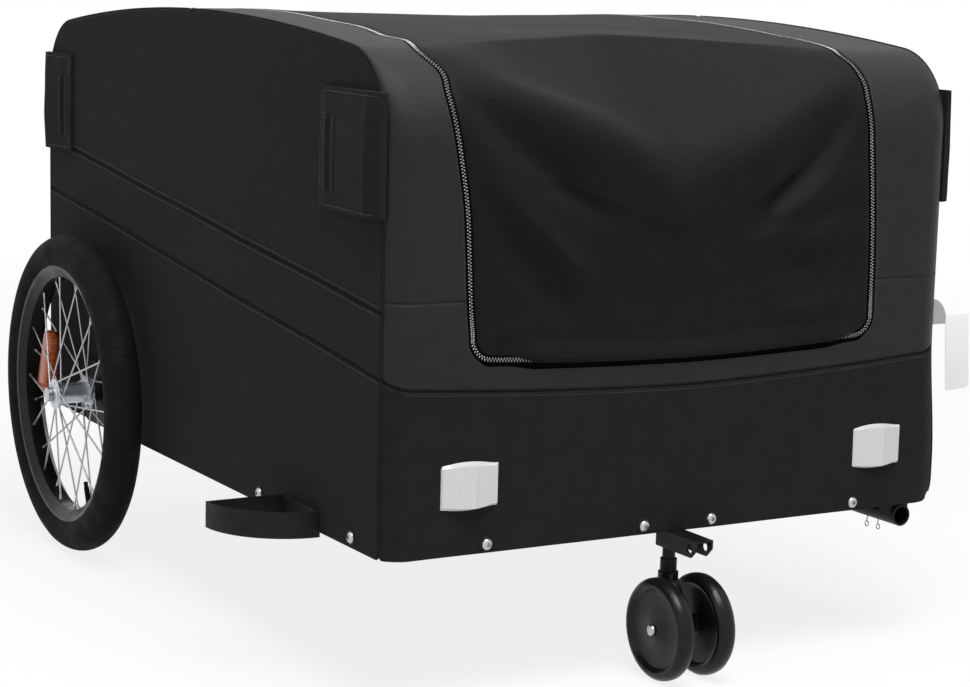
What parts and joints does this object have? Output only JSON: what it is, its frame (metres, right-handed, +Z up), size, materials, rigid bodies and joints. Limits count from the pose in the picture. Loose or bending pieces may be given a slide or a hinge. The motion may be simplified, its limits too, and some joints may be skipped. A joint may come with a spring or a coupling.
{
  "type": "bicycle cargo trailer",
  "caption": "Bicycle cargo trailer: black fabric box on a tube frame with a zipped cover, spoked main wheels, swivelling twin jockey wheels and a tow-arm socket.",
  "frame": {"origin": "on the floor, in the middle of the overall width and length", "axes": "+Z up, the tow end faces -Y, +X is the port side, which carries the tow-arm socket"},
  "size_m": [0.88, 1.0566, 0.688],
  "materials": {
    "axle_steel": "zinc plated",
    "band_fabric": "matt woven",
    "box_fabric": "matt woven",
    "cover_fabric": "matt woven, slack",
    "floor_board": "matt",
    "frame_tube": "satin black",
    "guard_plastic": "satin black",
    "hub_alloy": "polished",
    "jockey_plastic": "gloss black",
    "reflector_orange": "gloss, orange",
    "reflector_red": "gloss, red",
    "reflector_white": "gloss, clear",
    "rim_black": "satin black",
    "sleeve_fabric": "padded, stitched",
    "socket_steel": "zinc plated",
    "spoke_steel": "bright",
    "stem_metal": "satin black",
    "tyre_rubber": "matt"
  },
  "bodies": {
    "trailer": {"axle_plate_port": "frame_tube", "axle_plate_starboard": "frame_tube", "axle_port": "axle_steel", "axle_starboard": "axle_steel", "base_tube_front": "frame_tube", "base_tube_port": "frame_tube", "base_tube_rear": "frame_tube", "base_tube_starboard": "frame_tube", "edge_strip_port": "box_fabric", "edge_strip_starboard": "box_fabric", "floor_cross_tubes": "frame_tube", "floor_panel": "floor_board", "front_panel": "box_fabric", "jockey_bracket": "stem_metal", "jockey_stem": "stem_metal", "rear_panel": "box_fabric", "rear_upper_panel": "box_fabric", "reflectors_front": "reflector_white", "reflectors_rear": "reflector_red", "side_band_port": "band_fabric", "side_band_starboard": "band_fabric", "side_hoop_port": "frame_tube", "side_hoop_starboard": "frame_tube", "side_lower_port": "box_fabric", "side_lower_starboard": "box_fabric", "side_upper_port": "box_fabric", "side_upper_starboard": "box_fabric", "sleeve_front_port": "sleeve_fabric", "sleeve_front_starboard": "sleeve_fabric", "sleeve_rear_port": "sleeve_fabric", "sleeve_rear_starboard": "sleeve_fabric", "top_bow_front": "frame_tube", "top_bow_rear": "frame_tube", "tow_pins": "socket_steel", "tow_socket": "frame_tube", "wheel_guard_port": "guard_plastic", "wheel_guard_starboard": "guard_plastic"},
    "cover": {"cover": "cover_fabric"},
    "wheel_port": {"hub_port": "hub_alloy", "rim_port": "rim_black", "spoke_reflector_port": "reflector_orange", "spokes_port": "spoke_steel", "tyre_port": "tyre_rubber"},
    "wheel_starboard": {"hub_starboard": "hub_alloy", "rim_starboard": "rim_black", "spoke_reflector_starboard": "reflector_orange", "spokes_starboard": "spoke_steel", "tyre_starboard": "tyre_rubber"},
    "jockey_yoke": {"jockey_yoke": "stem_metal"},
    "jockey_wheels": {"jockey_axle": "axle_steel", "jockey_wheel_port": "jockey_plastic", "jockey_wheel_starboard": "jockey_plastic"}
  },
  "joints": [
    {"name": "cover_hinge", "type": "hinge", "parent": "trailer", "child": "cover", "pos_m": [0, 0.42735, 0.66397], "axis": [-1, 0, 0], "range_deg": [0, 100]},
    {"name": "wheel_port_spin", "type": "hinge", "parent": "trailer", "child": "wheel_port", "pos_m": [0.388, 0.32235, 0.2], "axis": [1, 0, 0], "continuous": true},
    {"name": "wheel_starboard_spin", "type": "hinge", "parent": "trailer", "child": "wheel_starboard", "pos_m": [-0.388, 0.32235, 0.2], "axis": [1, 0, 0], "continuous": true},
    {"name": "jockey_swivel", "type": "hinge", "parent": "trailer", "child": "jockey_yoke", "pos_m": [0, -0.44735, 0.1], "axis": [0, 0, 1], "continuous": true},
    {"name": "jockey_spin", "type": "hinge", "parent": "jockey_yoke", "child": "jockey_wheels", "pos_m": [0, -0.47335, 0.055], "axis": [1, 0, 0], "continuous": true}
  ]
}
